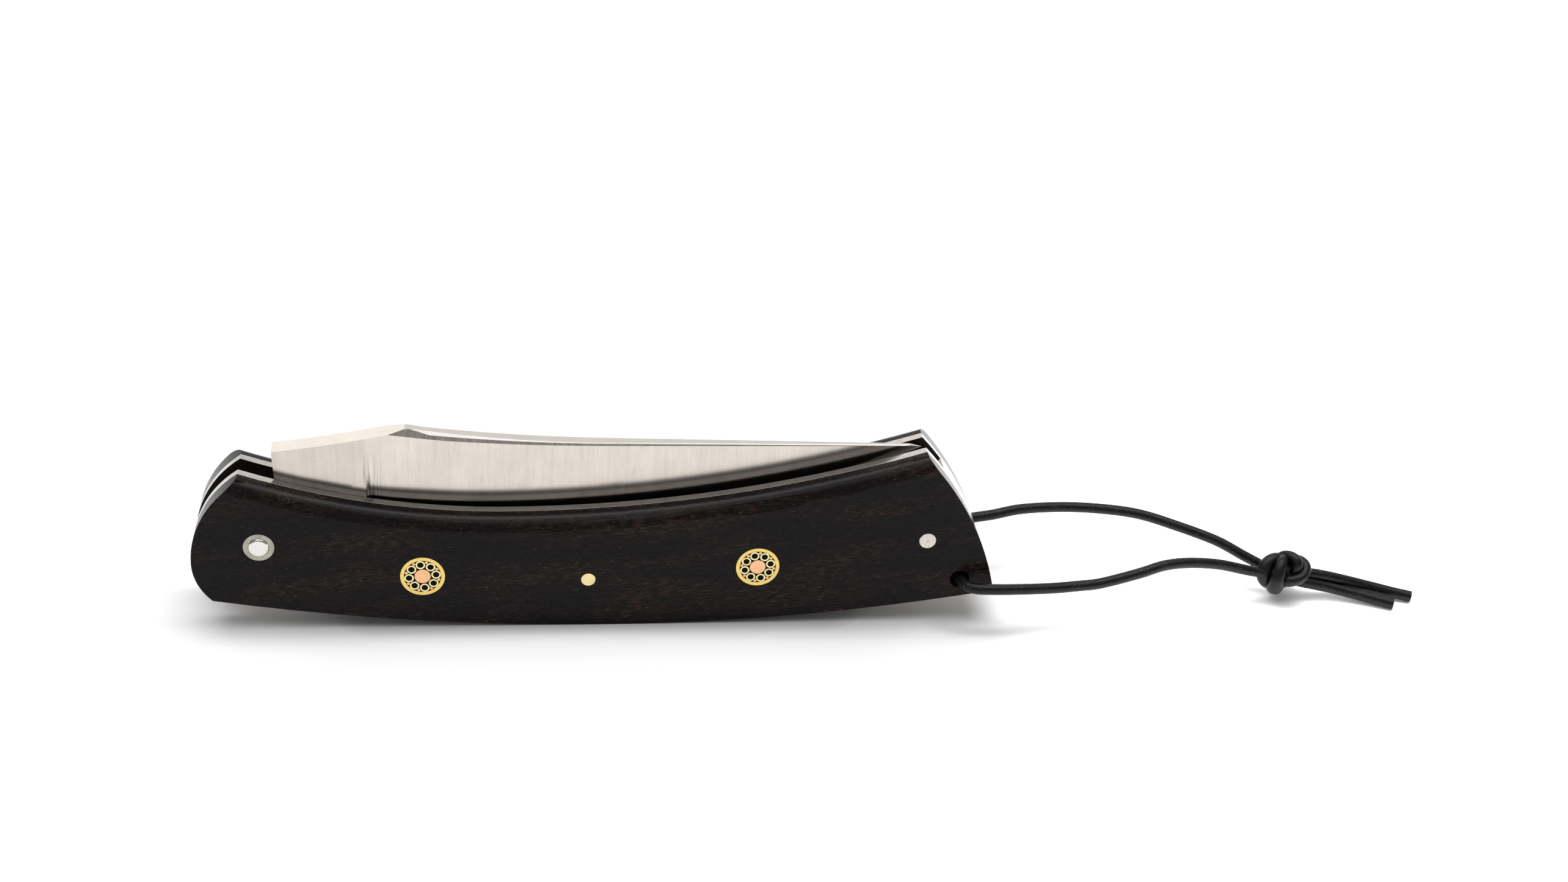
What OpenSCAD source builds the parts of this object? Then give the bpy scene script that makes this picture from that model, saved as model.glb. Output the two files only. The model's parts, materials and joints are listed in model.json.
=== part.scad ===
// Slip-joint folding pocket knife with a thumb ramp, ebony scales, mosaic pins and a leather lanyard.
// It stands closed on its convex back: X runs from the pivot (-) to the butt (+), Y is the thickness
// with the front scale at -Y, Z is up and z = 0 is the lowest point of the back.

/* [Handle] */
// Length of the handle from the round nose to the butt
handle_l = 109.7; // [104:0.1:116]
// Radius of the long convex back
back_r = 305; // [285:5:330]
// Height of the waist, the lowest point of the hollow top edge
waist_h = 16.75; // [16.5:0.25:17.5]
// Radius of the top edge on the pivot side of the waist
top_front_r = 103; // [98:1:108]
// Radius of the top edge on the butt side of the waist
top_butt_r = 188; // [180:2:200]
// Radius of the nose above its widest point
nose_r = 15; // [14:0.5:16]
// Radius of the nose below its widest point
chin_r = 8.1; // [7.5:0.1:9]
// Radius of the butt end
butt_r = 45; // [42:1:50]
// Thickness of each ebony scale
scale_t = 2.8; // [2.4:0.1:3.4]
// Thickness of each steel liner
liner_t = 1.2; // [0.8:0.1:1.6]
// Radius that rounds the outer top edge of the scales
scale_round_r = 2.5; // [1.5:0.1:2.7]

/* [Blade] */
// Thickness of the blade stock
blade_t = 2.8; // [2.4:0.1:3.2]
// Height of the ramp's peak over the lowest point of the back
peak_h = 28.4; // [27.6:0.2:29]
// Height of the top of the shoulder over the lowest point of the back
shoulder_h = 25.35; // [25:0.1:26]
// Radius of the belly, the curved cutting edge
belly_r = 193; // [188:1:198]
// Slope of each flat grind, in degrees from the flat of the stock
grind_deg = 3.32; // [3:0.1:3.4]
// Slope of the taper towards the point, in degrees
taper_deg = 0.854; // [0.7:0.05:0.9]
// Slope of the swedge, in degrees from the flat of the stock
swedge_deg = 41.5; // [38:0.5:45]
// Slope of the narrow polished facet between the spine and the swedge, in degrees
facet_deg = 55; // [50:1:60]
// Angle of the cutting bevel on each side, in degrees
edge_deg = 15; // [12:1:20]

/* [Joint] */
// Diameter of the pivot pin
pivot_d = 2.75; // [2.5:0.05:3]
// Outside diameter of the steel collars round the pivot pin
collar_d = 4.15; // [3.8:0.05:5]
// How far the pivot pin stands out of the scales
pivot_proud = 0.3; // [0.1:0.05:0.8]
// Distance from the pivot to each flat of the tang
tang_flat = 6; // [5.6:0.1:6.2]
// Radius of the tang's rounded corners round the pivot
tang_r = 7.2; // [6.9:0.1:7.4]
// Thickness of the spring's arm
arm_t = 3.2; // [2.6:0.1:3.4]

/* [Pins] */
// Diameter of the mosaic pins
mosaic_d = 6; // [5:0.1:6.4]
// Diameter of the brass pin that holds the spring
spring_pin_d = 2; // [1.6:0.1:2.4]
// Diameter of the steel pin near the butt
rear_pin_d = 2.4; // [2:0.1:3]

/* [Lanyard] */
// Diameter of the round leather cord
cord_d = 1.55; // [1.2:0.05:1.8]
// Diameter of the hole for the cord
lanyard_hole_d = 2.7; // [2.4:0.1:3.2]

/* [Hidden] */
$fn = 96;

// clearances
side_gap = 0.05;     // blade to each liner
pivot_gap = 0.03;    // pivot pin to the hole in the tang, on the radius
walk_gap = 0.02;     // tang flat to the spring
edge_gap = 1.2;      // cutting edge to the spring
stop_gap = 0.05;     // open shoulder to the end of the spring
cell_gap = 0.03;     // resin between the outer tube and what it holds
round_run = 0.03;    // the round edge of the scales meets both faces at a slight angle

// layers across the thickness, from the middle out
slot_half = blade_t / 2 + side_gap;
liner_out = slot_half + liner_t;
scale_out = liner_out + scale_t;
cut = 0.5;

// handle outline
nose_x = -0.50137 * handle_l;
butt_x = nose_x + handle_l;
waist_x = -0.12585 * handle_l;
widest_h = 10.4;
butt_low = back_z(butt_x);
butt_deg = 12.3;
butt_cx = butt_x - butt_r * cos(butt_deg);
butt_cz = butt_low - butt_r * sin(butt_deg);

front_len = waist_x - nose_x + 1;
front_sweep = asin((waist_x - nose_x) / top_front_r) + 2;
butt_sweep = asin((butt_x - waist_x) / top_butt_r) + 2;

// pins
pivot_x = nose_x + 9;
pivot_z = 13;
mosaic_xz = [[-0.22333 * handle_l, 8.2], [0.1928 * handle_l, 9.2]];
mosaic_turn = [8.3, 15.7];
spring_pin_x = -0.01915 * handle_l;
spring_pin_z = 7.4;
rear_pin_x = butt_x - 10.1;
rear_pin_z = 13.2;
hole_x = butt_x - 5;
hole_z = 6.9;

// blade, closed
shoulder_x = pivot_x + 1.85;
shoulder_lean = 3.85;
peak_x = pivot_x + 19.3;
ramp_r = 150;
plunge_x = pivot_x + 13.8;
plunge_r = 1.2;
tail_h = 26.25;
tail_deg = 0.92;
spine_r = 200;
swedge_h = 25.5;
swedge_r = 272;
swedge_fall = 1.72;
facet_h = 25.755;
facet_r = 265;
facet_fall = 1.44;
facet_lead = 0.95;      // how far behind the peak the facet starts
facet_lead_deg = 15.7;  // slope of the line where it starts
belly_cx = -0.33912 * handle_l;
belly_low = 7.5;
belly_cz = belly_low + belly_r;
grind_x = pivot_x + 26;
grind_z = 27.4;
tip_x = butt_x - 13.2;
tip_drop = 11.5;
edge_half = 0.03;
choil_r = 0.9;

// spring
pad_end = pivot_x + 4;
arm_end = spring_pin_x - 9;
spring_top = pivot_z - tang_flat - walk_gap;
butt_fill_h = 22.4;

// mosaic pin pattern
ring_wall = 0.083 * mosaic_d;
small_n = 8;
small_d = 0.213 * mosaic_d;
small_bore = 0.133 * mosaic_d;
small_orbit = mosaic_d / 2 - ring_wall - cell_gap - small_d / 2;
wire_d = 0.076 * mosaic_d;
wire_orbit = mosaic_d / 2 - ring_wall - cell_gap - wire_d / 2;
core_d = 0.373 * mosaic_d;

// lanyard: the points that each strand follows, in millimetres
front_route = [[49.7, 0, 6.9], [49.7, -2, 6.9], [49.7, -4, 6.9], [49.7, -5.5, 6.9], [50.2, -6.9, 6.9],
               [51.4, -7.9, 6.9], [53.4, -8.2, 6.9], [57.5, -7.8, 6.6], [62.5, -7, 6.2], [66.5, -6.5, 6.2],
               [70, -6, 6.3], [75.7, -4.8, 7.1], [79.4, -3.8, 7.7], [83.3, -2.8, 7.5], [88.2, -1.7, 6.5],
               [92.8, -1.1, 5.1], [96.4, -1, 4.3]];
rear_route = [[49.7, 0, 6.9], [49.7, 2, 6.9], [49.7, 4, 6.9], [49.7, 5.5, 7], [50.2, 6.9, 7.3],
              [51.4, 7.9, 7.8], [53.6, 8.5, 8.3], [57, 8.8, 8.7], [61.4, 9.5, 9.2], [67.7, 10, 9.2],
              [73.7, 9.5, 9.1], [78.8, 8.3, 8.9], [84, 6.5, 8], [89.5, 4.3, 6.8], [93.5, 2.6, 5.2],
              [96.8, 1.2, 3.9]];
upper_tail = [[101.6, 0.3, 3.7], [104.5, 0.2, 3.3], [107.8, 0, 2.6], [112.3, -0.5, 1.6], [115.5, -1.3, 1.1],
              [118.1, -2.1, 0.85]];
lower_tail = [[101.6, -0.9, 2.7], [104, -1, 2.1], [106.6, -1.2, 1.6], [110.8, -2.5, 1.05], [114.8, -4.1, 0.8]];
knot_c = [99.2, 0, 3.75];
knot_r = 3.7;
cord_sides = 8;

function back_z(x) = back_r - sqrt(back_r * back_r - x * x);
function steps(p, n) = [for (i = [0 : len(p) - 2], k = [0 : n - 1]) curve(p, i, k / n)];
function curve(p, i, t) =
    let (a = p[max(i - 1, 0)], b = p[i], c = p[i + 1], d = p[min(i + 2, len(p) - 1)])
    0.5 * (2 * b + (c - a) * t + (2 * a - 5 * b + 4 * c - d) * t * t + (3 * b - a - 3 * c + d) * t * t * t);
function unit(v) = v / norm(v);
function heading(p, i) = unit(p[min(i + 1, len(p) - 1)] - p[max(i - 1, 0)]);
function ring(c, h, r) =
    let (u = unit(cross(h, [0, 0, 1])), v = cross(h, u))
    [for (k = [0 : cord_sides - 1]) c + r * (cos(360 * k / cord_sides) * u + sin(360 * k / cord_sides) * v)];

// a prism in the XZ plane from y = a to y = b
module slab(a, b) {
    translate([0, b, 0])
        rotate([90, 0, 0])
            linear_extrude(b - a)
                children();
}

// a cylinder along Y from y = a to y = b
module rod(x, z, d, a, b) {
    translate([x, b, z])
        rotate([90, 0, 0])
            cylinder(h = b - a, d = d);
}

// side profile of scales and liners
module handle_outline() {
    difference() {
        intersection() {
            translate([0, back_r])
                circle(back_r, $fn = 360);
            union() {
                intersection() {
                    translate([nose_x + nose_r, widest_h])
                        circle(nose_r);
                    translate([nose_x - 1, widest_h])
                        square([nose_r + 1, 2 * nose_r]);
                }
                intersection() {
                    translate([nose_x + chin_r, widest_h])
                        circle(chin_r);
                    translate([nose_x - 1, -1])
                        square([chin_r + 1, widest_h + 1]);
                }
                translate([nose_x + nose_r, widest_h])
                    square([butt_x - nose_x, 30]);
                translate([nose_x + chin_r, -1])
                    square([butt_x - nose_x, widest_h + 1]);
            }
            union() {
                translate([butt_cx, butt_cz])
                    circle(butt_r, $fn = 180);
                translate([nose_x - 1, -1])
                    square([butt_cx - nose_x, 40]);
            }
        }
        intersection() {
            translate([waist_x, waist_h + top_front_r])
                circle(top_front_r, $fn = 240);
            // placed from the waist, so both parts of the cut meet on one line
            translate([waist_x, 0])
                translate([-front_len, 0])
                    square([front_len, 60]);
        }
        intersection() {
            translate([waist_x, waist_h + top_butt_r])
                circle(top_butt_r, $fn = 300);
            translate([waist_x, 0])
                square([butt_x - waist_x + 1, 60]);
        }
    }
}

// waste that leaves a round outer edge along one arc of the top, on the front face
module round_waste(r, sweep) {
    translate([waist_x, 0, waist_h + r])
        rotate([90, 0, 0])
            rotate([0, 0, -90])
                rotate_extrude(angle = sweep, $fn = 360)
                    difference() {
                        translate([r - 1, scale_out - scale_round_r])
                            square([scale_round_r + 1, scale_round_r + 1]);
                        translate([r + scale_round_r - round_run, scale_out - scale_round_r + round_run])
                            circle(scale_round_r);
                    }
}

// the holes that a front scale and a front liner share
module pin_holes(lo, hi) {
    for (p = mosaic_xz)
        rod(p[0], p[1], mosaic_d, lo, hi);
    rod(spring_pin_x, spring_pin_z, spring_pin_d, lo, hi);
    rod(rear_pin_x, rear_pin_z, rear_pin_d, lo, hi);
    rod(hole_x, hole_z, lanyard_hole_d, lo, hi);
}

module front_scale() {
    color([0.12, 0.1, 0.09])
        difference() {
            slab(-scale_out, -liner_out)
                handle_outline();
            // both sweeps start straight below the centres of the two arcs
            round_waste(top_front_r, -front_sweep);
            round_waste(top_butt_r, butt_sweep);
            rod(pivot_x, pivot_z, collar_d, -scale_out - cut, -liner_out + cut);
            pin_holes(-scale_out - cut, -liner_out + cut);
        }
}

module rear_scale() {
    mirror([0, 1, 0])
        front_scale();
}

module front_liner() {
    color([0.72, 0.71, 0.7])
        difference() {
            slab(-liner_out, -slot_half)
                handle_outline();
            rod(pivot_x, pivot_z, pivot_d, -liner_out - cut, -slot_half + cut);
            pin_holes(-liner_out - cut, -slot_half + cut);
        }
}

module rear_liner() {
    mirror([0, 1, 0])
        front_liner();
}

// the tang: a square with rounded corners, whose flats rest on the spring
module tang_outline() {
    intersection() {
        translate([pivot_x, pivot_z])
            circle(tang_r);
        translate([pivot_x - tang_flat, pivot_z - tang_flat])
            square([2 * tang_flat, 2 * tang_flat]);
    }
}

module blade_outline() {
    // middle of the ramp and the way up to the centre of its arc
    run = peak_x - shoulder_x;
    rise = peak_h - shoulder_h;
    chord = norm([run, rise]);
    lift = sqrt(ramp_r * ramp_r - chord * chord / 4);
    foot = shoulder_x + (shoulder_h - pivot_z - tang_flat) * tan(shoulder_lean);
    difference() {
        intersection() {
            polygon([[shoulder_x, shoulder_h], [peak_x, peak_h], [butt_x, peak_h], [butt_x, 0],
                     [foot, 0], [foot, pivot_z + tang_flat]]);
            translate([belly_cx, belly_cz])
                circle(belly_r, $fn = 360);
        }
        translate([(shoulder_x + peak_x) / 2 - lift * rise / chord, (shoulder_h + peak_h) / 2 + lift * run / chord])
            circle(ramp_r, $fn = 360);
        // hollow behind the peak, then the straight back up to the point
        intersection() {
            translate([spine_r * sin(tail_deg), tail_h + spine_r * cos(tail_deg)])
                circle(spine_r, $fn = 360);
            translate([peak_x, 0])
                square([1 - peak_x, 60]);
        }
        translate([0, tail_h])
            rotate([0, 0, -tail_deg])
                square([butt_x, 10]);
        translate([tip_x, tail_h - tip_x * tan(tail_deg)])
            rotate([0, 0, -tip_drop])
                square([20, 10]);
        // choil between the ricasso and the cutting edge
        translate([plunge_x - choil_r / 2, belly_low])
            circle(choil_r);
    }
}

// half space on the front side of a plane through the origin, leaning by a and turned by b
module front_wedge(a, b, from, to, w) {
    rotate([a, 0, b])
        translate([from, -10, -w])
            cube([to - from, 10, 2 * w]);
}

// waste over a sloping face along the hollow of the spine, up to x = 0
module spine_arc(slope, h, r, fall) {
    translate([r * sin(fall), 0, h + r * cos(fall)])
        rotate([90, 0, 0])
            rotate([0, 0, -90 - fall - 8])
                rotate_extrude(angle = 8, $fn = 360)
                    polygon([[r, blade_t / 2], [r + 1, blade_t / 2 + tan(slope)], [r + 1, 10], [r - 6, 10],
                             [r - 6, blade_t / 2 - 6 * tan(slope)]]);
}

// the same face along the straight part, from x = 0 on
module spine_flat(slope, h, fall) {
    translate([0, -blade_t / 2, h])
        front_wedge(-slope, atan(tan(slope) * tan(fall)), 0, handle_l, 12);
}

module blade_waste() {
    // flat grind that runs out at the plunge in a small radius
    translate([grind_x, -blade_t / 2, grind_z])
        rotate([grind_deg, 0, taper_deg])
            translate([plunge_x - grind_x, 0, 0]) {
                translate([plunge_r, -10, -40])
                    cube([handle_l, 10, 60]);
                translate([plunge_r, -plunge_r, -40])
                    cylinder(h = 60, r = plunge_r);
                translate([0, -10, -40])
                    cube([plunge_r + 0.1, 10 - plunge_r, 60]);
            }
    // swedge, then the polished facet over it, which starts along a slanting line behind the peak
    spine_arc(swedge_deg, swedge_h, swedge_r, swedge_fall);
    spine_flat(swedge_deg, swedge_h, swedge_fall);
    intersection() {
        spine_arc(facet_deg, facet_h, facet_r, facet_fall);
        translate([peak_x + facet_lead, -10, peak_h - facet_lead * 0.1])
            rotate([0, facet_lead_deg, 0])
                cube([handle_l, 10, 20]);
    }
    spine_flat(facet_deg, facet_h, facet_fall);
    // cutting bevel along the belly
    translate([belly_cx, 0, belly_cz])
        rotate([90, 0, 0])
            rotate([0, 0, -90])
                rotate_extrude(angle = 40, $fn = 360)
                    polygon([[belly_r, edge_half], [belly_r + 1, edge_half], [belly_r + 1, 10],
                             [belly_r - 6, 10], [belly_r - 6, edge_half + 6 * tan(edge_deg)]]);
}

module blade() {
    color([0.82, 0.81, 0.79])
        difference() {
            union() {
                slab(-blade_t / 2, blade_t / 2)
                    tang_outline();
                slab(-blade_t / 2, blade_t / 2)
                    blade_outline();
            }
            blade_waste();
            mirror([0, 1, 0])
                blade_waste();
            rod(pivot_x, pivot_z, pivot_d + 2 * pivot_gap, -slot_half, slot_half);
        }
}

module backspring() {
    end_x = 2 * pivot_x - shoulder_x + stop_gap;
    color([0.75, 0.74, 0.72])
        difference() {
            slab(-slot_half, slot_half)
                difference() {
                    handle_outline();
                    // free end, square to the shoulder of the open blade
                    translate([end_x, 2 * pivot_z - shoulder_h])
                        rotate([0, 0, shoulder_lean])
                            translate([-20, -20])
                                square([20, 60]);
                    // room over the pad under the tang
                    translate([nose_x - 1, spring_top])
                        square([pad_end - nose_x + 1, 40]);
                    // room over the arm
                    intersection() {
                        translate([0, back_r])
                            circle(back_r - arm_t, $fn = 360);
                        union() {
                            translate([pad_end, 0])
                                square([arm_end - pad_end, 40]);
                            translate([arm_end, 9.5])
                                circle(6);
                        }
                    }
                    // room for the folded blade
                    translate([belly_cx, belly_cz])
                        circle(belly_r + edge_gap, $fn = 360);
                    translate([nose_x - 1, belly_low - edge_gap + walk_gap])
                        square([belly_cx - nose_x + 1, 40]);
                    // top of the block that fills the butt
                    translate([rear_pin_x, butt_fill_h])
                        square([20, 20]);
                }
            rod(spring_pin_x, spring_pin_z, spring_pin_d, -slot_half - cut, slot_half + cut);
            rod(rear_pin_x, rear_pin_z, rear_pin_d, -slot_half - cut, slot_half + cut);
            rod(hole_x, hole_z, lanyard_hole_d, -slot_half - cut, slot_half + cut);
        }
}

// pin with a small bevel on both heads
module pivot_pin() {
    bevel = 0.7 * pivot_proud;
    half = scale_out + pivot_proud;
    color([0.85, 0.84, 0.82])
        translate([pivot_x, 0, pivot_z])
            rotate([90, 0, 0])
                rotate_extrude()
                    polygon([[0, -half], [pivot_d / 2 - bevel, -half], [pivot_d / 2, -half + bevel],
                             [pivot_d / 2, half - bevel], [pivot_d / 2 - bevel, half], [0, half]]);
}

module collar(side) {
    lo = side > 0 ? liner_out : -scale_out;
    color([0.62, 0.61, 0.57])
        difference() {
            rod(pivot_x, pivot_z, collar_d, lo, lo + scale_t);
            rod(pivot_x, pivot_z, pivot_d, lo - cut, lo + scale_t + cut);
        }
}

module front_collar() {
    collar(-1);
}

module rear_collar() {
    collar(1);
}

module spring_pin() {
    color([0.85, 0.72, 0.42])
        rod(spring_pin_x, spring_pin_z, spring_pin_d, -scale_out, scale_out);
}

module rear_pin() {
    color([0.8, 0.79, 0.76])
        rod(rear_pin_x, rear_pin_z, rear_pin_d, -scale_out, scale_out);
}

// places its children at each mosaic pin, in both handle halves, as rods of the right length;
// $turn is the angle of the first small tube
module at_mosaics() {
    for (i = [0, 1], side = [-1, 1]) {
        $turn = mosaic_turn[i];
        translate([mosaic_xz[i][0], side > 0 ? scale_out : -slot_half, mosaic_xz[i][1]])
            rotate([90, 0, 0])
                linear_extrude(scale_out - slot_half)
                    children();
    }
}

module around(n, r, turn) {
    for (k = [0 : n - 1])
        rotate([0, 0, turn + 360 * k / n])
            translate([r, 0])
                children();
}

module mosaic_tubes() {
    color([0.86, 0.72, 0.4])
        at_mosaics()
            difference() {
                circle(d = mosaic_d);
                circle(d = mosaic_d - 2 * ring_wall);
            }
}

module mosaic_small_tubes() {
    color([0.9, 0.82, 0.52])
        at_mosaics()
            around(small_n, small_orbit, $turn)
                difference() {
                    circle(d = small_d);
                    circle(d = small_bore);
                }
}

module mosaic_wires() {
    color([0.84, 0.55, 0.4])
        at_mosaics()
            around(small_n, wire_orbit, $turn + 180 / small_n)
                circle(d = wire_d);
}

module mosaic_cores() {
    color([0.87, 0.62, 0.44])
        at_mosaics()
            circle(d = core_d);
}

module mosaic_resin() {
    color([0.03, 0.03, 0.03])
        at_mosaics() {
            difference() {
                circle(d = mosaic_d - 2 * ring_wall);
                around(small_n, small_orbit, $turn)
                    circle(d = small_d);
                around(small_n, wire_orbit, $turn + 180 / small_n)
                    circle(d = wire_d);
                circle(d = core_d);
            }
            around(small_n, small_orbit, $turn)
                circle(d = small_bore);
        }
}

// a round cord swept along its points
module cord(route, n) {
    path = concat(steps(route, n), [route[len(route) - 1]]);
    last = len(path) - 1;
    rings = [for (i = [0 : last]) ring(path[i], heading(path, i), cord_d / 2)];
    points = [for (r = rings) each r];
    sides = [for (i = [0 : last - 1], k = [0 : cord_sides - 1])
                [i * cord_sides + k, (i + 1) * cord_sides + k,
                 (i + 1) * cord_sides + (k + 1) % cord_sides, i * cord_sides + (k + 1) % cord_sides]];
    caps = [[for (k = [0 : cord_sides - 1]) k], [for (k = [cord_sides - 1 : -1 : 0]) last * cord_sides + k]];
    polyhedron(points, concat(sides, caps));
}

module lanyard_front_strand() {
    color([0.08, 0.08, 0.08])
        cord(front_route, 1);
}

module lanyard_rear_strand() {
    color([0.08, 0.08, 0.08])
        cord(rear_route, 1);
}

module lanyard_knot() {
    color([0.09, 0.09, 0.09])
        translate(knot_c)
            sphere(knot_r);
}

module lanyard_tails() {
    color([0.08, 0.08, 0.08]) {
        cord(upper_tail, 1);
        cord(lower_tail, 1);
    }
}

front_scale();
rear_scale();
front_liner();
rear_liner();
blade();
backspring();
pivot_pin();
front_collar();
rear_collar();
spring_pin();
rear_pin();
mosaic_tubes();
mosaic_small_tubes();
mosaic_wires();
mosaic_cores();
mosaic_resin();
lanyard_front_strand();
lanyard_rear_strand();
lanyard_knot();
lanyard_tails();
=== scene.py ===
# %% [markdown]
# # A closed slip-joint folding knife with a leather lanyard
# The knife stands on its convex back with the blade folded into the handle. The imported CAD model
# is the fixed frame: it gives every size and place. This script adds what CAD leaves out: soft
# corners, wood pores, brushing marks, the set wires of the mosaic pins, and the lanyard's knot.

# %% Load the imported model
import json
import math
import bmesh
import bpy
from mathutils import Matrix, Vector


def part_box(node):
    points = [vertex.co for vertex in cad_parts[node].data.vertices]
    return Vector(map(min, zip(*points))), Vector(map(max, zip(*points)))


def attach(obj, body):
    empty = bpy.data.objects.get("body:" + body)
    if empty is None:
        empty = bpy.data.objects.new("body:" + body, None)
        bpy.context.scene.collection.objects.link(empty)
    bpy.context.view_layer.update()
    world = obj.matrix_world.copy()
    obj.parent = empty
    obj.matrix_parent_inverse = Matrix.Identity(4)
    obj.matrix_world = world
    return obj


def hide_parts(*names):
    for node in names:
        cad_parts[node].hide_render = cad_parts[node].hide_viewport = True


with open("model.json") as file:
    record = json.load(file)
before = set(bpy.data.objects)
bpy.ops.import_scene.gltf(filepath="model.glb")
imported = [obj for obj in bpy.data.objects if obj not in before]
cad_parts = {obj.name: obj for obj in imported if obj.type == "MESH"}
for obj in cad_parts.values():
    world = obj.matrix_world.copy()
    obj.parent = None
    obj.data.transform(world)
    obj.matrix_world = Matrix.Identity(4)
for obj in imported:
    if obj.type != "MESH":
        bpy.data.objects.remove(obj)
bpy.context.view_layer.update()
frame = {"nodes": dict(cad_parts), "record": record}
MM = 0.001
JOIN_WITHIN = 0.0005 * MM
HANDLE, BLADE = "handle", "blade"

# %% [markdown]
# ## The camera
# The lens is a little longer than normal, a hand's height above the table and a little to the left
# of the knife's middle. It is turned about all three axes, so its matrix is built from the viewing
# direction: forward from pitch and yaw, then right and up turned about it by the roll.

# %% Camera
CAMERA_AT = Vector((-13.38, -262.14, 174.39)) * MM
PITCH_DOWN, YAW_RIGHT, ROLL = (math.radians(a) for a in (29.25, 8.20, 3.89))
forward = Vector((math.sin(YAW_RIGHT) * math.cos(PITCH_DOWN), math.cos(YAW_RIGHT) * math.cos(PITCH_DOWN),
                  -math.sin(PITCH_DOWN)))
level = Vector((math.cos(YAW_RIGHT), -math.sin(YAW_RIGHT), 0))
upright = level.cross(forward)
right = math.cos(ROLL) * level + math.sin(ROLL) * upright
up = -math.sin(ROLL) * level + math.cos(ROLL) * upright

camera = bpy.data.objects.new("camera", bpy.data.cameras.new("camera"))
bpy.context.collection.objects.link(camera)
camera.data.lens = 51.08
camera.data.sensor_width = 36
camera.data.clip_start = 0.01
camera.matrix_world = Matrix.Translation(CAMERA_AT) @ Matrix((right, up, -forward)).transposed().to_4x4()
bpy.context.scene.camera = camera
bpy.context.scene.view_settings.view_transform = "Standard"
print("camera looks along", [round(c, 3) for c in forward])

# %% [markdown]
# ## Small helpers
# Colours are written as sRGB hex values, as a paint chart gives them, and turned to the linear
# values that the renderer works with. One function adds a shader node with its settings and links.

# %% Colour and node helpers
def linear(code):
    """An sRGB hex colour as linear RGBA."""
    values = [int(code[i:i + 2], 16) / 255 for i in (1, 3, 5)]
    return [v / 12.92 if v <= 0.04045 else ((v + 0.055) / 1.055) ** 2.4 for v in values] + [1.0]


def add(tree, kind, inputs=None, **settings):
    """Adds a node; an input is a value, or another node's output to link from."""
    node = tree.nodes.new(kind)
    for key, value in settings.items():
        setattr(node, key, value)
    for key, value in (inputs or {}).items():
        if isinstance(value, bpy.types.NodeSocket):
            tree.links.new(value, node.inputs[key])
        else:
            node.inputs[key].default_value = value
    return node


def new_material(name):
    """An empty node material with its output node."""
    material = bpy.data.materials.new(name)
    material.use_nodes = True
    tree = material.node_tree
    tree.nodes.clear()
    return material, tree, tree.nodes.new("ShaderNodeOutputMaterial")


print("white as linear:", linear("#ffffff"))

# %% [markdown]
# ## The lanyard
# One black round leather cord, 1.55 mm thick, goes through the hole at the butt. Each end comes out
# of one face, bends towards the knot in an easy curve and lies a few millimetres above the table.
# The two strands follow the same points as their CAD solids, in metres. Each is a curve with a round
# bevel, because a cord is a fixed length of one section.

# %% Lanyard strands
CORD_D = 1.55 * MM
FRONT_ROUTE = [(49.7, 0, 6.9), (49.7, -2, 6.9), (49.7, -4, 6.9), (49.7, -5.5, 6.9), (50.2, -6.9, 6.9),
               (51.4, -7.9, 6.9), (53.4, -8.2, 6.9), (57.5, -7.8, 6.6), (62.5, -7, 6.2), (66.5, -6.5, 6.2),
               (70, -6, 6.3), (75.7, -4.8, 7.1), (79.4, -3.8, 7.7), (83.3, -2.8, 7.5), (88.2, -1.7, 6.5),
               (92.8, -1.1, 5.1), (96.4, -1, 4.3)]
REAR_ROUTE = [(49.7, 0, 6.9), (49.7, 2, 6.9), (49.7, 4, 6.9), (49.7, 5.5, 7), (50.2, 6.9, 7.3),
              (51.4, 7.9, 7.8), (53.6, 8.5, 8.3), (57, 8.8, 8.7), (61.4, 9.5, 9.2), (67.7, 10, 9.2),
              (73.7, 9.5, 9.1), (78.8, 8.3, 8.9), (84, 6.5, 8), (89.5, 4.3, 6.8), (93.5, 2.6, 5.2),
              (96.8, 1.2, 3.9)]


def smooth_path(points, steps):
    """Points along a Catmull-Rom curve through the given ones, both in millimetres, as vectors in metres."""
    points = [Vector(p) for p in points]
    ends = [2 * points[0] - points[1]] + points + [2 * points[-1] - points[-2]]
    path = []
    for a, b, c, d in zip(ends, ends[1:], ends[2:], ends[3:]):
        for k in range(steps):
            t = k / steps
            path.append(0.5 * MM * (2 * b + (c - a) * t + (2 * a - 5 * b + 4 * c - d) * t ** 2
                                    + (3 * b - a - 3 * c + d) * t ** 3))
    return path + [points[-1] * MM]


def length_of(path):
    return sum((b - a).length for a, b in zip(path, path[1:]))


def cord_curve(name, path, thickness):
    """A round cord as one open poly spline. Its points carry the radius, so its bounds are true too."""
    curve = bpy.data.curves.new(name, "CURVE")
    curve.dimensions = "3D"
    curve.bevel_depth = 1.0
    curve.bevel_resolution = 5
    curve.use_fill_caps = True
    spline = curve.splines.new("POLY")
    spline.points.add(len(path) - 1)
    for point, place in zip(spline.points, path):
        point.co = (*place, 1)
        point.radius = thickness / 2
    spline.use_smooth = True
    piece = bpy.data.objects.new(name, curve)
    bpy.context.collection.objects.link(piece)
    return piece


front_path = smooth_path(FRONT_ROUTE, 5)
rear_path = smooth_path(REAR_ROUTE, 5)
front_strand = cord_curve("lanyard_strand_front", front_path, CORD_D)
rear_strand = cord_curve("lanyard_strand_rear", rear_path, CORD_D)
print("strands, mm:", round(length_of(front_path) / MM, 1), round(length_of(rear_path) / MM, 1))

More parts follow.
